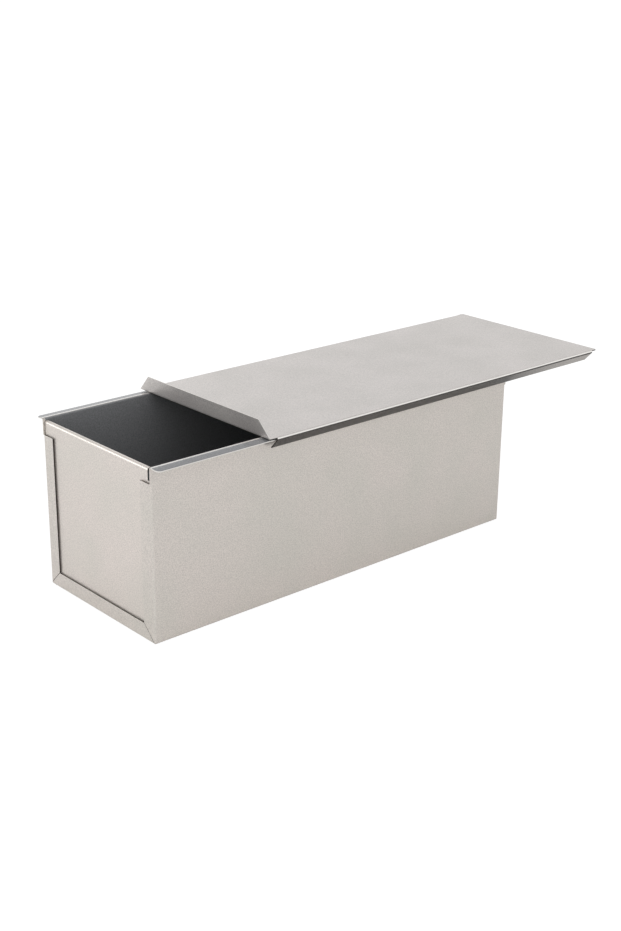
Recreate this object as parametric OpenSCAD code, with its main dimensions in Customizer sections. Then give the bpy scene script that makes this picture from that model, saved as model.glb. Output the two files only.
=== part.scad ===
// Lidded loaf pan folded from pre-coated sheet steel, for square sandwich loaves.
// Four pieces: a trough that is base and both long walls, two end plates that the
// trough's edges are folded over, and a lid that slides along the trough's lips.
// Millimetres, Z up, X along the loaf. The origin is the middle of the underside.

/* [Sheet] */
// Thickness of the coated sheet steel
sheet = 0.6; // [0.4:0.1:1]
// Inside radius of the main folds
fold_r = 0.9; // [0.5:0.1:2]
// Inside radius of the tight folds at the lips and round the lid
tight_r = 0.5; // [0.4:0.1:1.2]

/* [Trough] */
// Length over the folded ends
pan_l = 280; // [160:5:400]
// Width over the long walls
pan_w = 105.5; // [70:0.5:160]
// Height from the underside to the top of the lips
pan_h = 104; // [60:1:140]
// How far each lip stands out from its wall
lip_reach = 6.85; // [4.5:0.05:9]
// How steeply the lips fall towards their edge
lip_slope = 6.5; // [0:0.5:12]
// Corner radius at the ends of the lips
lip_corner_r = 3; // [0.5:0.5:3.5]

/* [Folded seams] */
// Width of the edge strips that are folded over the end plates
strip_w = 9.9; // [6:0.1:16]
// Distance from the top of the lips down to where the side strips stop
strip_stop = 9.9; // [6:0.1:20]
// Slit left between two strips where they meet at 45 degrees
mitre_gap = 0.3; // [0.1:0.1:1]
// Clearance between an end plate and the walls beside it
seam_fit = 0.3; // [0.1:0.05:0.8]
// Gap that the strips leave before an end plate, as they spring back after folding
strip_gap = 0.4; // [0:0.05:1]

/* [End plates] */
// Depth of the flanges that lie along the walls and the base
flange_d = 8; // [5:0.5:15]
// Distance from the top of the lips down to the rolled rim
rim_drop = 1.5; // [0.5:0.1:4]
// Outside diameter of the rolled rim
rim_d = 3.1; // [2.2:0.1:5]
// Length of the rolled rim's edge inside the pan
rim_leg = 5; // [1:0.5:10]
// Distance from the wall's outer face to the plate beside the notch at one upper corner
notch_w = 3.7; // [2.5:0.1:8]
// Distance from the top of the lips down to the foot of the notch
notch_stop = 8.6; // [4:0.1:9]

/* [Lid] */
// Length of the lid's flat top
lid_l = 287; // [160:5:410]
// Running clearance between the lips and the lid on them
lid_fit = 0.3; // [0.2:0.05:0.8]
// How far the lid stands out past the edge of each lip
lid_proud = 2; // [1.6:0.1:4]
// Turn of the hooked edges, from flat to pointing back under the lip
hook_turn = 133; // [120:1:150]
// Length of a hooked edge after its fold
hook_l = 8; // [5:0.1:9]
// Distance from the flap's fold to the hooked edges
hook_start = 5.8; // [3:0.1:20]
// Distance from the hooked edges to the lid's plain end
hook_stop = 4.8; // [3:0.1:20]
// Height of the turned-up flap that the lid is pulled by
flap_h = 9.6; // [6:0.1:20]
// Lean of the flap away from the lid
flap_lean = 4; // [0:1:30]
// How far each end of the flap's top edge is set in
flap_taper = 9.3; // [0:0.1:20]
// How far the flat corners stay inside the folded edges
tab_in = 0.3; // [0:0.1:1]
// Corner radius of the lid's plain end
lid_corner_r = 1.5; // [0.5:0.5:4]
// How far the lid stands open
lid_open = 78; // [0:1:150]

/* [Hidden] */
$fn = 64;

silver = [0.80, 0.79, 0.77];
pale_silver = [0.84, 0.83, 0.81];

// Outside radii of the two kinds of fold
fold_out = fold_r + sheet;
tight_out = tight_r + sheet;

half_l = pan_l / 2;
half_w = pan_w / 2;
strip_top = pan_h - strip_stop;
// Straight part of a lip, after its fold
lip_run = (lip_reach - tight_r - tight_out * sin(lip_slope)) / cos(lip_slope);

// End plate, which stands on the base inside the strips
plate_x = sheet + strip_gap - half_l;
plate_half_w = half_w - sheet - seam_fit;
plate_foot = sheet;
rim_r = rim_d / 2;
rim_start = pan_h - rim_drop - rim_r;
notch_foot = pan_h - notch_stop;

// Lid, carried by the lips
lid_half_w = half_w + lip_reach + lid_proud;
lid_under = pan_h + lid_fit;
lid_top = lid_under + sheet;
lid_x0 = lid_open - lid_l / 2;
lid_x1 = lid_x0 + lid_l;
tab_half_w = lid_half_w - tab_in;
flap_foot = lid_under + tight_out * (1 - sin(flap_lean));
flap_run = (lid_top + flap_h - flap_foot) / cos(flap_lean) - sheet * tan(flap_lean);

// Larger than the pan, for shapes that only cut
beyond = 1000;

// A fold of other than 90 or 180 degrees is a trace thinner than the sheet, as bending
// leaves it, and the straight runs lap over its two ends
fold_trace = 0.005;
fold_lap = 0.02;

// Sector of a disc that reaches past radius r, from angle 0 to angle a
module sector(r, a) {
  polygon([
    [0, 0],
    for (k = [0:3]) 2 * r * [cos(a * k / 3), sin(a * k / 3)]
  ]);
}

// Fold with the inside radius r about the origin. It takes in a run that comes along
// +X below the origin and turns it upwards by angle a.
module fold(r, a) {
  square_on = a % 90 == 0;
  trace = square_on ? 0 : fold_trace;
  intersection() {
    difference() {
      circle(r + sheet - trace);
      circle(r + trace);
    }
    rotate(-90) sector(r + sheet, a);
  }
  if (!square_on) {
    for (end = [0, a]) rotate(end) translate([-fold_lap, -r - sheet])
      square([2 * fold_lap, sheet]);
  }
}

// Bent sheet seen from its edge, drawn from the origin along +X with its lower side
// on the axis. The step [0, length] is a straight run. The step [angle, r] is a fold
// with the inside radius r, upwards where the angle is positive.
module folded(steps, i = 0) {
  if (i < len(steps)) {
    turn = steps[i][0];
    size = steps[i][1];
    if (turn == 0) {
      square([size, sheet]);
      translate([size, 0]) folded(steps, i + 1);
    } else if (turn > 0) {
      translate([0, size + sheet]) {
        fold(size, turn);
        rotate(turn) translate([0, -size - sheet]) folded(steps, i + 1);
      }
    } else {
      translate([0, -size]) {
        mirror([0, 1]) fold(size, -turn);
        rotate(turn) translate([0, size]) folded(steps, i + 1);
      }
    }
  }
}

// Outline drawn in Y and Z, given a length along X
module along_x(x0, x1) {
  translate([x0, 0, 0]) rotate([90, 0, 90]) linear_extrude(x1 - x0) children();
}

// Outline drawn in X and Z, given a length along Y
module along_y(y0, y1) {
  translate([0, y1, 0]) rotate([90, 0, 0]) linear_extrude(y1 - y0) children();
}

module both_sides() {
  children();
  mirror([0, 1, 0]) children();
}

// Swaps the two axes of an outline
module swapped() {
  mirror([1, -1, 0]) children();
}

// Carries the left end of the pan to the right end
module other_end() {
  rotate(180) children();
}

// Half of the trough's section: base, wall and lip
module trough_half_section() {
  folded([
    [0, half_w - fold_out],
    [90, fold_r],
    [0, pan_h - fold_out - tight_out],
    [-90 - lip_slope, tight_r],
    [0, lip_run]
  ]);
}

// Outline of the trough below its lips, seen from the end
module trough_outline() {
  translate([-half_w, fold_out]) square([pan_w, pan_h]);
  translate([fold_out - half_w, 0]) square([pan_w - 2 * fold_out, pan_h]);
  for (side = [-1, 1]) translate([side * (half_w - fold_out), fold_out]) circle(fold_out);
}

// Strip folded over the end plate from the wall, cut at 45 degrees at its foot
module side_strip() {
  intersection() {
    translate([fold_out - half_l, half_w, 0]) linear_extrude(strip_top) rotate(180)
      folded([[90, fold_r], [0, strip_w - fold_out]]);
    along_x(-beyond, beyond) intersection() {
      trough_outline();
      translate([half_w, mitre_gap * sqrt(2)])
        polygon([[0, 0], [0, beyond], [-beyond, beyond]]);
    }
  }
}

// Strip folded up over the end plate from the base, cut at 45 degrees at both ends
module bottom_strip() {
  intersection() {
    along_y(-half_w, half_w) translate([fold_out - half_l, 0]) mirror([1, 0, 0])
      folded([[90, fold_r], [0, strip_w - fold_out]]);
    along_x(-beyond, beyond) intersection() {
      trough_outline();
      polygon([[-half_w, 0], [half_w, 0], [0, half_w]]);
    }
  }
}

// Wall and lip above the side strip, where the wall runs on straight to its cut edge
module wall_end() {
  intersection() {
    along_x(-half_l, fold_out - half_l) trough_half_section();
    translate([-half_l, 0, strip_top]) cube([fold_out, half_w + lip_reach, strip_stop]);
  }
}

// Rounds the end of a lip in plan
module lip_corner_cut() {
  r = lip_corner_r;
  translate([-half_l, half_w + lip_reach, strip_top]) difference() {
    translate([-r, -r, 0]) cube([2 * r, 2 * r, strip_stop]);
    translate([r, -r, -1]) cylinder(r = r, h = strip_stop + 2);
  }
}

module trough_end() {
  bottom_strip();
  both_sides() {
    side_strip();
    wall_end();
  }
}

module trough_end_cuts() {
  both_sides() lip_corner_cut();
}

module trough() {
  color(silver) difference() {
    union() {
      both_sides() along_x(fold_out - half_l, half_l - fold_out) trough_half_section();
      trough_end();
      other_end() trough_end();
    }
    trough_end_cuts();
    other_end() trough_end_cuts();
  }
}

// Section of an end plate: flange on the base, face and rolled rim
module plate_section() {
  translate([plate_x + flange_d, plate_foot]) mirror([1, 0, 0]) folded([
    [0, flange_d - fold_out],
    [90, fold_r],
    [0, rim_start - plate_foot - fold_out],
    [180, rim_r - sheet],
    [0, rim_leg]
  ]);
}

// Side of an end plate with its flange along the wall, below the top of the strips
module plate_side() {
  z0 = plate_foot + fold_out;
  translate([plate_x, 0, z0]) linear_extrude(strip_top - z0) swapped() folded([
    [0, plate_half_w - fold_out],
    [90, fold_r],
    [0, flange_d - fold_out]
  ]);
}

// Upper part of an end plate, above its side flanges, out to the wall
module plate_head() {
  intersection() {
    along_y(0, plate_half_w) plate_section();
    translate([-half_l, 0, strip_top]) cube([flange_d, half_w, strip_stop]);
  }
}

module end_plate() {
  difference() {
    union() {
      along_y(fold_out - plate_half_w, plate_half_w - fold_out) plate_section();
      both_sides() {
        plate_side();
        plate_head();
      }
    }
    translate([-half_l, -half_w, notch_foot]) cube([flange_d, notch_w, notch_stop]);
  }
}

module left_end_plate() {
  color(pale_silver) end_plate();
}

module right_end_plate() {
  color(pale_silver) other_end() end_plate();
}

// Flat edge and hook of the lid's section
module lid_half_section() {
  translate([0, lid_under]) folded([
    [0, lid_half_w - tight_out],
    [-hook_turn, tight_r],
    [0, hook_l]
  ]);
}

// Flat ends of the lid beyond its hooks, with rounded corners at the plain end
module lid_ends() {
  r = lid_corner_r;
  x0 = lid_x0 + tight_out;
  x1 = lid_x1 - hook_stop;
  translate([0, 0, lid_under]) linear_extrude(sheet) {
    translate([x0, -tab_half_w]) square([hook_start - tight_out, 2 * tab_half_w]);
    translate([x1, -tab_half_w]) square([hook_stop - r, 2 * tab_half_w]);
    translate([lid_x1 - r, r - tab_half_w]) square([r, 2 * (tab_half_w - r)]);
    for (side = [-1, 1]) translate([lid_x1 - r, side * (tab_half_w - r)]) circle(r);
  }
}

// Flap turned up at the lid's other end, narrower towards its top
module lid_flap() {
  intersection() {
    along_y(-tab_half_w, tab_half_w) translate([lid_x0 + tight_out, lid_under])
      mirror([1, 0, 0]) folded([[90 - flap_lean, tight_r], [0, flap_run]]);
    along_x(-beyond, beyond) polygon([
      [-tab_half_w, 0],
      [tab_half_w, 0],
      [tab_half_w, lid_top],
      [lid_half_w - 2 * flap_taper, lid_top + 2 * flap_h],
      [2 * flap_taper - lid_half_w, lid_top + 2 * flap_h],
      [-tab_half_w, lid_top]
    ]);
  }
}

module sliding_lid() {
  color(silver) {
    lid_ends();
    lid_flap();
    both_sides() along_x(lid_x0 + hook_start, lid_x1 - hook_stop) lid_half_section();
  }
}

trough();
left_end_plate();
right_end_plate();
sliding_lid();
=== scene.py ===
"""Looks of a lidded loaf pan folded from pre-coated sheet steel, laid out as an add-on."""

import math

import bmesh
import bpy
from bpy.props import FloatProperty, FloatVectorProperty, PointerProperty, StringProperty
from mathutils import Matrix, Vector


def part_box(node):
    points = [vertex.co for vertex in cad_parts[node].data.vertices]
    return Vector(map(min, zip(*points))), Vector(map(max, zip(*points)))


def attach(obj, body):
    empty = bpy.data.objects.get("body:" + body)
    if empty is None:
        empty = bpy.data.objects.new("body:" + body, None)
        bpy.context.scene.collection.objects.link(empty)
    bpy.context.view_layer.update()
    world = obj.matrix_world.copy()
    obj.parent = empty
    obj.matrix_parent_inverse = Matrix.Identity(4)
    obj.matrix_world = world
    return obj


bl_info = {
    "name": "Loaf pan looks",
    "version": (1, 1, 0),
    "blender": (4, 5, 0),
    "location": "View3D > Sidebar > Loaf pan",
    "description": "Dresses the packed loaf pan in its coatings and sets up the stage",
    "category": "Object",
}

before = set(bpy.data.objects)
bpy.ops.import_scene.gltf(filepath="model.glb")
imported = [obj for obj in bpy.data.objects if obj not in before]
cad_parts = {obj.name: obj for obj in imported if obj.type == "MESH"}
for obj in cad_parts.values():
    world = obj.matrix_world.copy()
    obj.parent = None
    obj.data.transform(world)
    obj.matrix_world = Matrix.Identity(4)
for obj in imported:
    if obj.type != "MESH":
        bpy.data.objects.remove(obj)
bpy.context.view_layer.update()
MM = 0.001
TROUGH_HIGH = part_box("trough")[1]
PLATE_LOW, PLATE_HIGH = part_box("left_end_plate")
LID_LOW, LID_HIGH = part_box("sliding_lid")

# Two lengths closer than this are taken as equal
TOLERANCE = 0.01 * MM
BEND_SEGMENTS = 8
SMOOTH_ANGLE = math.radians(30)

# Where the steel is cut, dulled or rubbed, and where shade and highlights are painted on: depths below
# the top of the trough or the lid, and insets from the sides of the trough, the plate or the lid
LIP_EDGE_DEPTH = 2.5 * MM
LIP_EDGE_INSET = 6.1 * MM
STRIP_FACE_INSET = 0.62 * MM
STRIP_TOP_DEPTH = 9 * MM
STRIP_FOOT = 1.6 * MM
STRIP_INSET = 8.4 * MM
NOTCH_DEPTH = 9.2 * MM
NOTCH_INSET = 0.9 * MM
FLAP_DEPTH = 9.2 * MM
CORNER_DEPTH = 9.62 * MM
CORNER_FRONT = 6.336 * MM
CORNER_BACK = 4.8 * MM
CREST_DEPTH = 9.72 * MM
CREST_INSET = 1.5 * MM
HOOK_DEPTH = 10.55 * MM
HOOK_FLAT_DEPTH = 11.7 * MM
RUBBED_INSET = 7.0 * MM
RUBBED_END_INSET = 5.3 * MM

# Width of the soft step at those places
STEP = 0.02 * MM
FLAP_STEP = 0.5 * MM
CREST_STEP = 0.1 * MM
HOOK_STEP = 0.2 * MM
HOOK_FLAT_STEP = 0.4 * MM
RUBBED_STEP = 0.3 * MM

# Parts of a unit normal along an axis, over or under which a face counts as facing that way
UPRIGHT = 0.35
EDGE_ON = 0.2
HALF_FACING = 0.5
FULL_FACING = 0.7

# Size of the space whose openness sets the painted shade on the hooks, the way that they look into it,
# inwards and down, and the stretch that takes its openness from 0.40 to 0.62 up to the range from 0 to 1
HOOK_SPACE = 60 * MM
HOOK_LOOKS_IN = -0.5
HOOK_LOOKS_DOWN = -0.87
SPACE_SAMPLES = 48
OPENNESS_GAIN = 4.6
OPENNESS_SHIFT = -1.85

# The real flakes and speckle are under 0.1 mm and about 0.2 mm, and are drawn coarse enough to show
FLAKE_SIZE = 0.65 * MM
SPECKLE_SIZE = 0.9 * MM
SMUDGE_SIZE = 35 * MM
SCUFF_SIZE = 40 * MM
PEEL_SIZE = 2 * MM
BUMP_DEPTH = 0.02 * MM
PEEL_STRENGTH = 0.12
SPECKLE_STRENGTH = 0.15

# Darkest and brightest tones of the flakes and the speckle, as factors of the coat's colour
FLAKE_TONES = (0.82, 1.18)
SPECKLE_TONES = (0.8, 1.25)
# Brightness of the painted highlight on the hooks' crests, as a factor of the cut steel's colour
PAINTED_CREST_HIGHLIGHT = 1.15

# Largest share of the cooler tone in the patches
PATCH_SHARE = 0.16
LID_PATCH_SHARE = 0.07

# How metallic the silver is, and least and most of the lips' rubbed coat
SILVER_METAL = 0.8
RUBBED_METAL = (0.55, 0.9)

# Changes of roughness, where the flakes and smudges change it both ways
FLAKE_DULLING = 0.05
SMUDGE_DULLING = 0.03
FLAP_DULLING = 0.07
SCUFF_DULLING = 0.08

WHITE = (1, 1, 1, 1)
PAPER = 0.8
PAPER_IN_METAL = 0.84
PAPER_TO_CAMERA = 0.2
PAPER_LIFT = 0.90

# How far up the ceiling starts to dim and is dimmest, and how bright it is there
CEILING_START = 0.38
CEILING_END = 0.75
CEILING_LIGHT = 0.45
WORLD_LIGHT = 0.8

# Name, place, size and power of the lamps, and the point that they look at
LAMPS = (
    ("key_lamp", (-0.5, -0.45, 0.75), 1.4, 3.3),
    ("side_lamp", (-0.9, 1.1, 0.3), 0.6, 2.2),
    ("back_lamp", (0.4, 1.1, 0.6), 0.6, 0.3),
)
LAMP_AIM = (0, 0, 0.06)


def linear(hex_colour, light=1.0):
    """The linear RGBA of an sRGB colour written as #rrggbb, made lighter or darker by a factor."""
    shares = [int(hex_colour[i : i + 2], 16) / 255 for i in (1, 3, 5)]
    shares = [s / 12.92 if s <= 0.04045 else ((s + 0.055) / 1.055) ** 2.4 for s in shares]
    return [min(light * s, 1.0) for s in shares] + [1.0]


def connect(tree, socket, value):
    """Links a socket to another node's output, or sets it to a value."""
    if isinstance(value, bpy.types.NodeSocket):
        tree.links.new(value, socket)
    else:
        socket.default_value = value


def add_node(tree, kind, settings=None, links=None):
    """A node with its settings, and its inputs set to values or linked to other nodes' outputs."""
    node = tree.nodes.new(kind)
    for name, value in (settings or {}).items():
        setattr(node, name, value)
    for name, value in (links or {}).items():
        connect(tree, node.inputs[name], value)
    return node


def maths(tree, operation, *values, clamp=False):
    """The result of a Math node."""
    node = add_node(tree, "ShaderNodeMath", {"operation": operation, "use_clamp": clamp})
    for socket, value in zip(node.inputs, values):
        connect(tree, socket, value)
    return node.outputs[0]


def product(tree, first, *others):
    """Values multiplied together."""
    for other in others:
        first = maths(tree, "MULTIPLY", first, other)
    return first


def mixed(tree, share, first, second):
    """Two colours mixed by a share from 0 to 1."""
    links = {0: share, 6: first, 7: second}
    return add_node(tree, "ShaderNodeMix", {"data_type": "RGBA"}, links).outputs[2]


def split_up(tree, vector):
    """The X, Y and Z of a vector."""
    return add_node(tree, "ShaderNodeSeparateXYZ", links={"Vector": vector}).outputs


def face_normal(tree):
    """The X, Y and Z of the way that a face looks."""
    return split_up(tree, add_node(tree, "ShaderNodeNewGeometry").outputs["True Normal"])


def ranged(tree, value, start, end, low, high):
    """A value's range from start to end, stretched and clamped to run from low to high."""
    links = {"Value": value, "From Min": start, "From Max": end, "To Min": low, "To Max": high}
    return add_node(tree, "ShaderNodeMapRange", links=links).outputs[0]


def grain(tree, place, size, detail=2.0):
    """Noise from 0 to 1 whose grains are about as large as the size."""
    links = {"Vector": place, "Scale": 1 / size, "Detail": detail, "Roughness": 0.6}
    return add_node(tree, "ShaderNodeTexNoise", links=links).outputs["Fac"]


def spread(tree, noise, low, high):
    """Noise, which is mostly between 0.3 and 0.7, stretched to run from low to high."""
    return ranged(tree, noise, 0.3, 0.7, low, high)


def above(tree, value, limit, step=STEP):
    """1 where a value is above a limit and 0 where it is below, with a soft step between."""
    over = maths(tree, "SUBTRACT", value, limit)
    return maths(tree, "MULTIPLY_ADD", over, 1 / step, 0.5, clamp=True)


def below(tree, value, limit, step=STEP):
    """1 where a value is below a limit and 0 where it is above, with a soft step between."""
    return maths(tree, "SUBTRACT", 1.0, above(tree, value, limit, step))


def size_over(tree, value, limit):
    """1 where a value's size, whatever its sign, is over a limit, and 0 elsewhere."""
    return maths(tree, "GREATER_THAN", maths(tree, "ABSOLUTE", value), limit)


def size_under(tree, value, limit):
    """1 where a value's size, whatever its sign, is under a limit, and 0 elsewhere."""
    return maths(tree, "LESS_THAN", maths(tree, "ABSOLUTE", value), limit)


def new_material(name):
    """An empty node material and its tree."""
    material = bpy.data.materials.new(name)
    material.use_nodes = True
    material.node_tree.nodes.clear()
    return material, material.node_tree


def add_surface(tree, colour, metal, roughness, strength, height):
    """The surface of a coat, with a fine bump, at the end of its tree."""
    links = {"Strength": strength, "Distance": BUMP_DEPTH, "Height": height}
    normal = add_node(tree, "ShaderNodeBump", links=links).outputs[0]
    links = {"Base Color": colour, "Metallic": metal, "Roughness": roughness, "Normal": normal}
    surface = add_node(tree, "ShaderNodeBsdfPrincipled", links=links).outputs[0]
    add_node(tree, "ShaderNodeOutputMaterial", links={"Surface": surface})


def hex_property(name, description, default):
    """A colour written as #rrggbb."""
    return StringProperty(name=name, description=description, default=default)


def length_property(name, description, default):
    """A length in metres."""
    return FloatProperty(name=name, description=description, default=default, unit="LENGTH")


def angle_property(name, description, degrees):
    """An angle, given in degrees."""
    default = math.radians(degrees)
    return FloatProperty(name=name, description=description, default=default, subtype="ANGLE")


def roughness_property(name, description, default):
    """A roughness."""
    return FloatProperty(name=name, description=description, default=default, min=0.05, max=1.0)


class LoafPanFinish(bpy.types.PropertyGroup):
    """Colours and roughness of the coatings and the bare steel."""

    trough_silver: hex_property("Trough silver", "Satin coating on the trough's outer side", "#dbd4ce")
    plate_silver: hex_property("Plate silver", "Satin coating on the end plates' outer side", "#e1d9d3")
    lid_silver: hex_property("Lid silver", "Satin coating on the lid", "#d3cecb")
    cool_patch: hex_property("Cool patch", "Cooler tone of the coating in patches", "#b7c2b6")
    cut_steel: hex_property("Cut steel", "Bare steel at cut edges", "#ebe8e4")
    # Painted shade: the strips' cut edges and the plates' notches are painted this dark for the shadow
    # in the seams' gaps
    painted_seam_shade: hex_property("Seam steel", "Darkened cut edges of the strips", "#3a3735")
    # Painted shade: the hooks' outer side is painted darker than the lid for the shade and reflections
    # that it shows
    hook_shade_tone: hex_property("Hook steel", "Dulled outer side of the lid's hooks", "#b6b1ac")
    # Painted shade: a dark tone along the lower half of the hooks' folds
    fold_painted_shade: hex_property("Fold steel", "Stretched coating round the hooks' folds", "#4d4a48")
    # Painted shade: the hooks' cut ends and the flat corners' cut edges are painted this dark for the
    # gaps beside them
    end_painted_shade: hex_property("End steel", "Darkened cut ends of the lid's hooks", "#3c3937")
    release_grey: hex_property("Release grey", "Non-stick coating inside the pan", "#78797b")
    silver_roughness: roughness_property("Silver roughness", "Of the satin coating", 0.40)
    lid_roughness: roughness_property("Lid roughness", "Of the lid's coating", 0.38)
    release_roughness: roughness_property("Release roughness", "Of the non-stick coating", 0.32)
    lip_roughness: roughness_property("Lip roughness", "Where the lid has polished the lips", 0.16)


class LoafPanCoat(bpy.types.PropertyGroup):
    """Sizes of the non-stick coating's films, which follow the sheet's inner side."""

    film: length_property("Film", "Thickness of a film", 0.04 * MM)
    clear: length_property("Clear", "Gap between steel and film", 0.03 * MM)
    sheet: length_property("Sheet", "Thickness of the steel", 0.6 * MM)
    seam_fit: length_property("Seam fit", "Gap between an end plate and the walls", 0.3 * MM)
    fold_radius: length_property("Fold radius", "Inside radius of the main folds", 0.9 * MM)
    lip_fold_radius: length_property("Lip fold radius", "Radius of the lips' folds on top", 1.1 * MM)
    lip_slope: angle_property("Lip slope", "Fall of the lips", 6.5)
    lip_corner: length_property("Lip corner", "Corner radius at the ends of the lips", 3 * MM)
    lip_overrun: length_property("Lip overrun", "Part of the lips' fold that runs to the ends", 0.9 * MM)
    strip_stop: length_property("Strip stop", "From the lips' top to the side flanges", 9.9 * MM)
    rim_start: length_property("Rim start", "From the plate's top to its straight face", 2 * MM)
    flange_gap: length_property("Flange gap", "From an end flange to the film on the base", 0.05 * MM)


class LoafPanStage(bpy.types.PropertyGroup):
    """Camera and floor of the product picture."""

    camera_place: FloatVectorProperty(
        name="Camera place",
        description="Where the camera stands",
        default=(-0.54834, -0.63758, 0.36951),
        subtype="TRANSLATION",
        unit="LENGTH",
    )
    azimuth: angle_property("Azimuth", "Camera's turn about the pan", -41.68)
    elevation: angle_property("Elevation", "Camera's downward tilt", 20.40)
    roll: angle_property("Roll", "Camera's roll", 0.62)
    lens: FloatProperty(
        name="Lens",
        description="Focal length on a 36 mm side",
        default=55.99,
        subtype="DISTANCE_CAMERA",
    )
    floor_size: length_property("Floor", "Side of the floor", 60.0)
    floor_drop: length_property("Floor drop", "Gap that keeps the floor off the underside", 0.1 * MM)


def trough_edges(tree, place):
    """Shares of bright steel and of painted shade: the lips' cut edges, and the cut edges of the strips,
    painted dark for the shadow in the gap between strip and plate.
    """
    x, y, z = split_up(tree, place)
    facing = face_normal(tree)
    along = maths(tree, "ABSOLUTE", x)
    across = maths(tree, "ABSOLUTE", y)
    lips = product(
        tree,
        size_under(tree, facing["Z"], UPRIGHT),
        above(tree, z, TROUGH_HIGH.z - LIP_EDGE_DEPTH),
        above(tree, across, TROUGH_HIGH.y - LIP_EDGE_INSET),
    )
    # Painted shade: the strips' cut edges stand for the shadow in the gap between strip and plate
    strips = product(
        tree,
        above(tree, along, TROUGH_HIGH.x - STRIP_FACE_INSET),
        size_under(tree, facing["X"], EDGE_ON),
        maths(tree, "LESS_THAN", z, TROUGH_HIGH.z - STRIP_TOP_DEPTH),
        above(tree, z, STRIP_FOOT),
        maths(tree, "LESS_THAN", across, TROUGH_HIGH.y - STRIP_INSET),
    )
    return lips, strips


def lid_edges(tree, place):
    """Shares of bright steel and of painted shade: the flap's cut edges, and none."""
    flap = above(tree, split_up(tree, place)["Z"], LID_HIGH.z - FLAP_DEPTH)
    end_on = size_over(tree, face_normal(tree)["X"], HALF_FACING)
    return product(tree, flap, maths(tree, "SUBTRACT", 1.0, end_on)), 0.0


def plate_edges(tree, place):
    """Shares of bright steel and of painted shade: none, and the notch where a plate stops short,
    painted dark for the shade in its slit.
    """
    x, _, z = split_up(tree, place)
    # Painted shade in the slit where a plate stops short of the wall
    notch = above(tree, z, TROUGH_HIGH.z - NOTCH_DEPTH)
    outer = above(tree, maths(tree, "ABSOLUTE", x), -PLATE_LOW.x - NOTCH_INSET)
    return 0.0, product(tree, notch, outer, size_over(tree, face_normal(tree)["Y"], FULL_FACING))


def hooks_shade_and_highlight(tree, place, colour, finish):
    """The lid's colour with painted shade on the hooks, darkest at cut ends, round the folds and along a
    wall, and a painted highlight on the folds' crests.
    """
    x, y, z = split_up(tree, place)
    facing = face_normal(tree)
    hook = below(tree, z, LID_HIGH.z - HOOK_DEPTH, HOOK_STEP)
    straight = below(tree, z, LID_HIGH.z - HOOK_FLAT_DEPTH, HOOK_FLAT_STEP)
    # How open the space is that a hook's outer side looks into, down and back towards the wall; where
    # the wall closes it, the hook gets painted shade for the shaded wall that it mirrors
    inwards = maths(tree, "MULTIPLY", maths(tree, "SIGN", y), HOOK_LOOKS_IN)
    links = {"Y": inwards, "Z": HOOK_LOOKS_DOWN}
    towards_wall = add_node(tree, "ShaderNodeCombineXYZ", links=links).outputs[0]
    settings = {"samples": SPACE_SAMPLES}
    links = {"Distance": HOOK_SPACE, "Normal": towards_wall}
    space = add_node(tree, "ShaderNodeAmbientOcclusion", settings, links).outputs["AO"]
    space = maths(tree, "MULTIPLY_ADD", space, OPENNESS_GAIN, OPENNESS_SHIFT, clamp=True)
    # Painted shade and reflection: the hooks darken to the fold's tone where they look at the wall
    flat = mixed(tree, space, linear(finish.fold_painted_shade), linear(finish.hook_shade_tone))
    # Painted shade along the lower half of the folds, above the hooks' straight part
    dull = mixed(tree, straight, linear(finish.fold_painted_shade), flat)
    # Painted shade: the hooks' cut ends are painted dark
    ends = size_over(tree, facing["X"], HALF_FACING)
    dull = mixed(tree, ends, dull, linear(finish.end_painted_shade))
    # Painted highlight: the crest of the folds is painted as bright bare steel
    outer = above(tree, maths(tree, "ABSOLUTE", y), LID_HIGH.y - CREST_INSET)
    crest = product(tree, below(tree, z, LID_HIGH.z - CREST_DEPTH, CREST_STEP), outer)
    colour = mixed(tree, crest, colour, linear(finish.cut_steel, PAINTED_CREST_HIGHLIGHT))
    colour = mixed(tree, hook, colour, dull)
    # Painted shade: the flat corners beyond the hooks have their cut edge painted dark for the gap under
    # them
    back = above(tree, x, LID_HIGH.x - CORNER_BACK)
    front = maths(tree, "LESS_THAN", x, LID_LOW.x + CORNER_FRONT)
    corner = product(
        tree,
        maths(tree, "MAXIMUM", back, front),
        below(tree, z, LID_HIGH.z - CORNER_DEPTH),
        size_over(tree, facing["Y"], HALF_FACING),
    )
    return mixed(tree, corner, colour, linear(finish.end_painted_shade))


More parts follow.
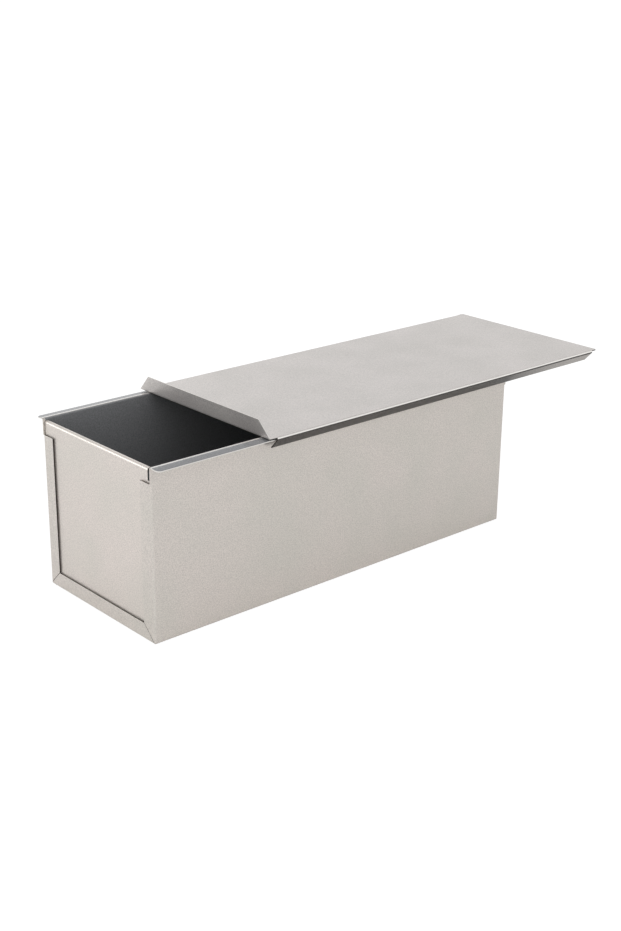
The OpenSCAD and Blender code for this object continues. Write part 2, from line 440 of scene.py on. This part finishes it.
def satin_silver(node_name, base_hex, finish):
    """Pre-coated steel: satin silver paint with fine metal flakes, dull in its shine, smudged, with
    painted shade at the seams and on the lid's hooks and a painted highlight on the hooks' crests.
    """
    material, tree = new_material("satin_silver_coated_steel_" + node_name)
    is_lid = node_name == "sliding_lid"
    place = add_node(tree, "ShaderNodeTexCoord").outputs["Object"]
    flakes = grain(tree, place, FLAKE_SIZE)
    smudges = grain(tree, place, SMUDGE_SIZE, detail=1.0)
    dark, bright = (linear(base_hex, tone) for tone in FLAKE_TONES)
    colour = mixed(tree, spread(tree, flakes, 0.0, 1.0), dark, bright)
    patches = spread(tree, smudges, 0.0, LID_PATCH_SHARE if is_lid else PATCH_SHARE)
    colour = mixed(tree, patches, colour, linear(finish.cool_patch))
    find_edges = {"trough": trough_edges, "sliding_lid": lid_edges}.get(node_name, plate_edges)
    bright_edge, painted_shade_edge = find_edges(tree, place)
    colour = mixed(tree, bright_edge, colour, linear(finish.cut_steel))
    # Painted shade on the strips' cut edges and in the plates' notches
    colour = mixed(tree, painted_shade_edge, colour, linear(finish.painted_seam_shade))
    base_roughness = finish.lid_roughness if is_lid else finish.silver_roughness
    flake_change = spread(tree, flakes, -FLAKE_DULLING, FLAKE_DULLING)
    smudge_change = spread(tree, smudges, -SMUDGE_DULLING, SMUDGE_DULLING)
    roughness = maths(tree, "ADD", flake_change, base_roughness)
    roughness = maths(tree, "ADD", roughness, smudge_change)
    if is_lid:
        colour = hooks_shade_and_highlight(tree, place, colour, finish)
        # Handling dulls the flap
        flap = above(tree, split_up(tree, place)["Z"], LID_HIGH.z - FLAP_DEPTH, FLAP_STEP)
        roughness = maths(tree, "MULTIPLY_ADD", flap, FLAP_DULLING, roughness)
    # The sprayed coat's orange peel
    peel = grain(tree, place, PEEL_SIZE, detail=1.0)
    add_surface(tree, colour, SILVER_METAL, roughness, PEEL_STRENGTH, peel)
    return material


def release_coat(finish, crest):
    """Non-stick coating: dark grey, fine-grained, slightly glossy, rubbed bright on the lips, partly as
    wear and partly as a painted highlight along their fold.
    """
    material, tree = new_material("grey_non_stick_coat_" + ("trough" if crest else "plates"))
    place = add_node(tree, "ShaderNodeTexCoord").outputs["Object"]
    speckle = grain(tree, place, SPECKLE_SIZE)
    scuffs = grain(tree, place, SCUFF_SIZE, detail=0.0)
    dark, bright = (linear(finish.release_grey, tone) for tone in SPECKLE_TONES)
    colour = mixed(tree, spread(tree, speckle, 0, 1), dark, bright)
    smoothest = finish.release_roughness - SCUFF_DULLING / 2
    roughness = maths(tree, "MULTIPLY_ADD", scuffs, SCUFF_DULLING, smoothest)
    metal = 0.0
    if crest:
        # The lid polishes the lips as it slides; the band along the lips' fold is also painted as bright
        # bare steel, a painted highlight
        across = maths(tree, "ABSOLUTE", split_up(tree, place)["Y"])
        rubbed = above(tree, across, TROUGH_HIGH.y - RUBBED_INSET, RUBBED_STEP)
        past = above(tree, across, TROUGH_HIGH.y - RUBBED_END_INSET, RUBBED_STEP)
        polish = finish.lip_roughness - finish.release_roughness
        roughness = maths(tree, "MULTIPLY_ADD", rubbed, polish, roughness)
        rubbed = maths(tree, "SUBTRACT", rubbed, past)
        metal = product(tree, rubbed, spread(tree, speckle, *RUBBED_METAL))
        colour = mixed(tree, metal, colour, linear(finish.cut_steel))
    add_surface(tree, colour, metal, roughness, SPECKLE_STRENGTH, speckle)
    return material


class LOAFPAN_OT_dress(bpy.types.Operator):
    """Gives each sheet its satin silver coating"""

    bl_idname = "loafpan.dress"
    bl_label = "Dress the sheets"

    def execute(self, context):
        finish = context.scene.loafpan_finish
        colours = {"trough": finish.trough_silver, "sliding_lid": finish.lid_silver}
        for name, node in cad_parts.items():
            silver = satin_silver(name, colours.get(name, finish.plate_silver), finish)
            node.data.materials.clear()
            node.data.materials.append(silver)
        return {"FINISHED"}


def near(a, b):
    """Whether two lengths are equal within the tolerance."""
    return abs(a - b) < TOLERANCE


def start_film(name, length, width, place, turn=(0, 0, 0)):
    """A flat rectangle at its size and place, open for editing, with nothing else selected."""
    bpy.ops.object.select_all(action="DESELECT")
    bpy.ops.mesh.primitive_plane_add(size=1, location=place, rotation=turn)
    piece = bpy.context.object
    piece.name = name
    piece.data.name = name
    piece.scale = (length, width, 1)
    bpy.ops.object.transform_apply(location=True, rotation=True, scale=True)
    bpy.ops.object.mode_set(mode="EDIT")
    return piece


def select_where(piece, test, kind="EDGE", across_only=False):
    """Selects the edges or corners whose ends all pass a test, of edges perhaps only those across."""
    bpy.ops.mesh.select_mode(type=kind)
    bpy.ops.mesh.select_all(action="DESELECT")
    mesh = bmesh.from_edit_mesh(piece.data)
    parts = mesh.edges if kind == "EDGE" else mesh.verts
    chosen = 0
    for part in parts:
        ends = part.verts if kind == "EDGE" else (part,)
        if across_only and not near(ends[0].co.x, ends[1].co.x):
            continue
        if all(test(end.co) for end in ends):
            part.select_set(True)
            chosen += 1
    bmesh.update_edit_mesh(piece.data)
    if not chosen:
        raise RuntimeError("nothing to select on " + piece.name)


def draw_out(step):
    """Extrudes the selected edges by a step."""
    bpy.ops.mesh.extrude_edges_move(TRANSFORM_OT_translate={"value": step})


def round_off(offset, kind="EDGES"):
    """Rounds the selected edges or corners."""
    shape = {"offset_type": "OFFSET", "segments": BEND_SEGMENTS, "profile": 0.5}
    bpy.ops.mesh.bevel(offset=offset, affect=kind, **shape)


def finish_film(piece, coat, material):
    """Thickens a film towards the inside of the pan, smooths its folds and dresses it."""
    bpy.ops.object.mode_set(mode="OBJECT")
    thickness = piece.modifiers.new("film", "SOLIDIFY")
    thickness.thickness = coat.film
    thickness.offset = 1
    bpy.ops.object.modifier_apply(modifier=thickness.name)
    bpy.ops.object.shade_smooth_by_angle(angle=SMOOTH_ANGLE)
    piece.data.materials.clear()
    piece.data.materials.append(material)


class LOAFPAN_OT_trough_coat(bpy.types.Operator):
    """Lays the non-stick film on the trough's base, walls and lips"""

    bl_idname = "loafpan.trough_coat"
    bl_label = "Coat the trough"

    def execute(self, context):
        finish, coat = context.scene.loafpan_finish, context.scene.loafpan_coat
        half_l = TROUGH_HIGH.x
        short = -PLATE_HIGH.x - coat.flange_gap
        plate = -PLATE_LOW.x - coat.sheet
        wall = PLATE_HIGH.y + coat.seam_fit - coat.clear
        base = coat.sheet + coat.clear
        split = TROUGH_HIGH.z - coat.strip_stop
        radius = coat.lip_fold_radius + coat.clear
        fall = math.tan(coat.lip_slope)
        rise = radius * (math.cos(coat.lip_slope) + (1 + math.sin(coat.lip_slope)) * fall)
        crest = TROUGH_HIGH.z - coat.lip_fold_radius + rise
        edge = TROUGH_HIGH.y - coat.clear
        lip_start = wall + radius * (1 + math.sin(coat.lip_slope))
        piece = start_film("trough_release_coat", 2 * short, 2 * wall, (0, 0, base))
        for side in (-1, 1):
            select_where(piece, lambda p: near(p.y, side * wall) and near(p.z, base))
            draw_out((0, 0, split - base))
            draw_out((0, 0, crest - split))
            draw_out((0, side * (edge - wall), -(edge - wall) * fall))
        for end in (-1, 1):
            select_where(piece, lambda p: near(p.x, end * short) and p.z > split - TOLERANCE)
            draw_out((end * (plate - short), 0, 0))
        select_where(piece, lambda p: near(abs(p.y), wall) and near(p.z, crest))
        round_off(radius * math.tan((math.pi / 2 + coat.lip_slope) / 2))
        select_where(piece, lambda p: near(abs(p.y), wall) and near(p.z, base))
        round_off(coat.fold_radius - coat.clear)
        overrun = lip_start - coat.lip_overrun
        for end in (-1, 1):
            select_where(piece, lambda p: near(p.x, end * plate) and abs(p.y) > overrun)
            draw_out((end * (half_l - plate), 0, 0))
        select_where(
            piece,
            lambda p: abs(p.x) < half_l - MM and abs(p.y) > lip_start - TOLERANCE,
            across_only=True,
        )
        bpy.ops.mesh.dissolve_edges()
        select_where(piece, lambda p: near(abs(p.x), half_l) and near(abs(p.y), edge), "VERT")
        round_off(coat.lip_corner, "VERTICES")
        finish_film(piece, coat, release_coat(finish, True))
        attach(piece, "pan")
        return {"FINISHED"}


class LOAFPAN_OT_plate_coats(bpy.types.Operator):
    """Lays the non-stick film inside both end plates"""

    bl_idname = "loafpan.plate_coats"
    bl_label = "Coat the end plates"

    def execute(self, context):
        finish, coat = context.scene.loafpan_finish, context.scene.loafpan_coat
        inset = coat.sheet + coat.clear
        face = PLATE_LOW.x + inset
        half_w = PLATE_HIGH.y - inset
        foot = PLATE_LOW.z + inset
        start = foot + coat.fold_radius
        split = TROUGH_HIGH.z - coat.strip_stop
        depth = PLATE_HIGH.x - face
        bend = coat.fold_radius - coat.clear
        middle = (face, 0, (start + split) / 2)
        quarter = (0, math.pi / 2, 0)
        left = start_film("left_plate_release_coat", split - start, 2 * half_w, middle, quarter)
        for side in (-1, 1):
            select_where(left, lambda p: near(p.y, side * half_w))
            draw_out((depth, 0, 0))
        select_where(left, lambda p: near(p.x, face) and near(p.z, split))
        draw_out((0, 0, PLATE_HIGH.z - coat.rim_start - split))
        select_where(left, lambda p: near(p.x, face) and near(p.z, start))
        draw_out((0, 0, foot - start))
        draw_out((depth, 0, 0))
        low, high = start - MM / 2, split + MM / 2
        select_where(
            left,
            lambda p: near(p.x, face) and near(abs(p.y), half_w) and low < p.z < high,
        )
        round_off(bend)
        select_where(left, lambda p: near(p.x, face) and near(p.z, foot))
        round_off(bend)
        finish_film(left, coat, release_coat(finish, False))
        bpy.ops.object.duplicate()
        right = context.object
        right.name = "right_plate_release_coat"
        right.data.name = right.name
        right.rotation_euler.z = math.pi
        bpy.ops.object.transform_apply(location=True, rotation=True, scale=True)
        for piece in (left, right):
            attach(piece, "pan")
        return {"FINISHED"}


def mirrored_rays(tree, path):
    """1 for the rays that shiny metal and glass see, and 0 for others."""
    return maths(tree, "MAXIMUM", path["Is Glossy Ray"], path["Is Transmission Ray"])


def floor_material():
    """Matte white paper, lifted for the camera's rays, so that it reads as a white page."""
    material, tree = new_material("white_paper_floor")
    path = add_node(tree, "ShaderNodeLightPath").outputs
    to_metal = (mirrored_rays(tree, path), 0.0, PAPER_IN_METAL)
    to_camera = (path["Is Camera Ray"], PAPER_LIFT, PAPER_TO_CAMERA)
    links = {"Color": (PAPER, PAPER, PAPER, 1)}
    surface = add_node(tree, "ShaderNodeBsdfDiffuse", links=links).outputs[0]
    for seen, lift, tone in (to_metal, to_camera):
        links = {"Color": (tone, tone, tone, 1)}
        sheet = add_node(tree, "ShaderNodeBsdfDiffuse", links=links).outputs[0]
        links = {"Color": WHITE, "Strength": lift}
        glow = add_node(tree, "ShaderNodeEmission", links=links).outputs[0]
        lifted = add_node(tree, "ShaderNodeAddShader", links={0: sheet, 1: glow}).outputs[0]
        links = {0: seen, 1: surface, 2: lifted}
        surface = add_node(tree, "ShaderNodeMixShader", links=links).outputs[0]
    add_node(tree, "ShaderNodeOutputMaterial", links={"Surface": surface})
    return material


def studio_world():
    """A white room with a dimmer ceiling; as a lamp it is a little weaker than it looks."""
    world = bpy.data.worlds.new("white_studio")
    world.use_nodes = True
    tree = world.node_tree
    tree.nodes.clear()
    path = add_node(tree, "ShaderNodeLightPath").outputs
    way = add_node(tree, "ShaderNodeTexCoord").outputs["Generated"]
    up = split_up(tree, way)["Z"]
    ceiling = ranged(tree, up, CEILING_START, CEILING_END, 1.0, CEILING_LIGHT)
    links = {0: mirrored_rays(tree, path), 2: WORLD_LIGHT, 3: ceiling}
    strength = add_node(tree, "ShaderNodeMix", links=links).outputs[0]
    links = {0: path["Is Camera Ray"], 2: strength, 3: 1.0}
    strength = add_node(tree, "ShaderNodeMix", links=links).outputs[0]
    links = {"Color": WHITE, "Strength": strength}
    light = add_node(tree, "ShaderNodeBackground", links=links).outputs[0]
    add_node(tree, "ShaderNodeOutputWorld", links={"Surface": light})
    bpy.context.scene.world = world


def add_area_lamp(name, place, size, power):
    """A soft lamp that points at the middle of the pan."""
    bpy.ops.object.light_add(type="AREA", location=place)
    lamp = bpy.context.object
    lamp.name = name
    lamp.data.size = size
    lamp.data.energy = power
    aim = Vector(LAMP_AIM) - Vector(place)
    lamp.rotation_euler = aim.to_track_quat("-Z", "Y").to_euler()


def add_camera(stage):
    """The camera, from its place, turn, tilt and roll."""
    a, e, r = stage.azimuth, stage.elevation, stage.roll
    right = Vector((math.cos(a), math.sin(a), 0))
    ahead = Vector((-math.sin(a) * math.cos(e), math.cos(a) * math.cos(e), -math.sin(e)))
    up = right.cross(ahead)
    side = right * math.cos(r) + up * math.sin(r)
    top = up * math.cos(r) - right * math.sin(r)
    turn = Matrix((side, top, -ahead)).transposed()
    bpy.ops.object.camera_add(location=stage.camera_place, rotation=turn.to_euler())
    camera = bpy.context.object
    camera.data.sensor_width = 36
    camera.data.lens = stage.lens
    camera.data.clip_start = 0.01
    camera.data.clip_end = 100
    bpy.context.scene.camera = camera


class LOAFPAN_OT_stage(bpy.types.Operator):
    """Sets up the floor, the lamps and the camera"""

    bl_idname = "loafpan.stage"
    bl_label = "Set up the stage"

    def execute(self, context):
        stage = context.scene.loafpan_stage
        place = (0, 0, -stage.floor_drop)
        bpy.ops.mesh.primitive_plane_add(size=stage.floor_size, location=place)
        floor = context.object
        floor.name = "floor"
        floor.data.materials.append(floor_material())
        studio_world()
        for lamp in LAMPS:
            add_area_lamp(*lamp)
        add_camera(stage)
        context.scene.view_settings.view_transform = "Standard"
        return {"FINISHED"}


class LOAFPAN_PT_panel(bpy.types.Panel):
    """Lists the steps in the sidebar"""

    bl_label = "Loaf pan"
    bl_space_type = "VIEW_3D"
    bl_region_type = "UI"
    bl_category = "Loaf pan"

    def draw(self, context):
        column = self.layout.column()
        for step in STEPS:
            column.operator(step.bl_idname)


STEPS = (LOAFPAN_OT_dress, LOAFPAN_OT_trough_coat, LOAFPAN_OT_plate_coats, LOAFPAN_OT_stage)
GROUPS = {
    "loafpan_finish": LoafPanFinish,
    "loafpan_coat": LoafPanCoat,
    "loafpan_stage": LoafPanStage,
}
CLASSES = (*GROUPS.values(), *STEPS, LOAFPAN_PT_panel)


def register():
    for item in CLASSES:
        bpy.utils.register_class(item)
    for name, group in GROUPS.items():
        setattr(bpy.types.Scene, name, PointerProperty(type=group))


def unregister():
    for name in GROUPS:
        delattr(bpy.types.Scene, name)
    for item in reversed(CLASSES):
        bpy.utils.unregister_class(item)


def main():
    register()
    bpy.ops.loafpan.dress()
    bpy.ops.loafpan.trough_coat()
    bpy.ops.loafpan.plate_coats()
    bpy.ops.loafpan.stage()


if __name__ == "__main__":
    main()
